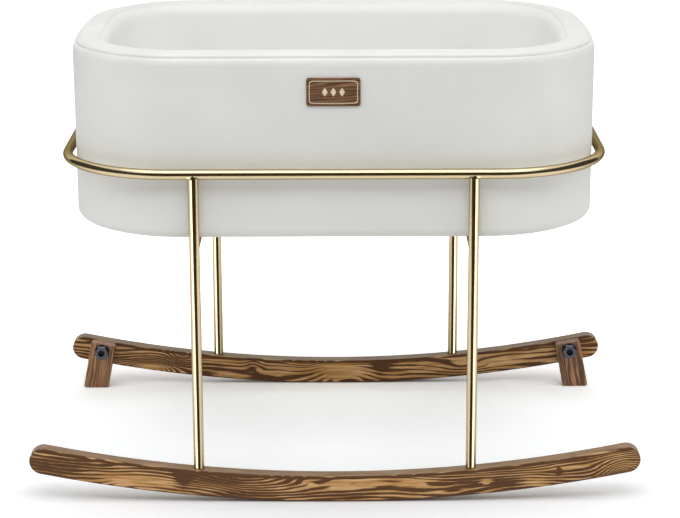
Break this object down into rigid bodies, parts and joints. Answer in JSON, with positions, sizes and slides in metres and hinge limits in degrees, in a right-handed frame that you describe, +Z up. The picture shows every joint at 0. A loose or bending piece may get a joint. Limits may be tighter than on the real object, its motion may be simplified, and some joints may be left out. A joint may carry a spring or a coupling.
{
  "type": "rocking cradle",
  "caption": "Baby cradle: a padded white basket stands loose in a brass tube hoop on slim legs and curved wooden rockers, with swing-down stop blocks.",
  "frame": {"origin": "on the floor under the middle of the cradle", "axes": "+X along the cradle to the right as seen from the front, +Y from the front to the rear, +Z up"},
  "size_m": [0.96, 0.612, 0.708],
  "materials": {
    "brass_tube": "polished, pale brass-coloured plating",
    "zinc_steel": "zinc plated",
    "stained_pine": "brushed, dark stained, satin",
    "black_steel": "blackened",
    "white_leatherette": "smooth, satin",
    "lining_cloth": "fine, matt",
    "foam": "open cell",
    "plywood": "raw",
    "plaque_wood": "stained, satin",
    "mattress_cloth": "knitted, matt"
  },
  "bodies": {
    "frame": {"support_hoop": "brass_tube", "front_left_leg": "brass_tube", "front_right_leg": "brass_tube", "rear_left_leg": "brass_tube", "rear_right_leg": "brass_tube", "left_crossbar": "brass_tube", "right_crossbar": "brass_tube", "leg_plugs": "zinc_steel", "leg_bolts": "zinc_steel", "leg_washers": "zinc_steel", "front_rocker": "stained_pine", "rear_rocker": "stained_pine", "pivot_studs": "black_steel", "pivot_nuts": "black_steel", "pivot_spacers": "black_steel", "pivot_washers": "black_steel"},
    "left_stop": {"left_stop_block": "stained_pine"},
    "right_stop": {"right_stop_block": "stained_pine"},
    "basket": {"outer_cover": "white_leatherette", "rim_cover_front": "white_leatherette", "rim_cover_rear": "white_leatherette", "lining": "lining_cloth", "underside_cover": "lining_cloth", "outer_foam": "foam", "inner_foam": "foam", "wall_panel": "plywood", "floor_board": "plywood", "floor_screws": "zinc_steel", "name_plaque": "plaque_wood"},
    "mattress": {"mattress": "mattress_cloth"}
  },
  "joints": [
    {"name": "left_stop_swing", "type": "hinge", "parent": "frame", "child": "left_stop", "pos_m": [-0.424, 0.2673, 0.06929], "axis": [0, 1, 0], "range_deg": [0, 180]},
    {"name": "right_stop_swing", "type": "hinge", "parent": "frame", "child": "right_stop", "pos_m": [0.424, 0.2673, 0.06929], "axis": [0, -1, 0], "range_deg": [0, 180]},
    {"name": "basket_lift", "type": "slide", "parent": "frame", "child": "basket", "axis": [0, 0, 1], "range_m": [0, 0.2]},
    {"name": "mattress_lift", "type": "slide", "parent": "basket", "child": "mattress", "axis": [0, 0, 1], "range_m": [0, 0.3]}
  ]
}
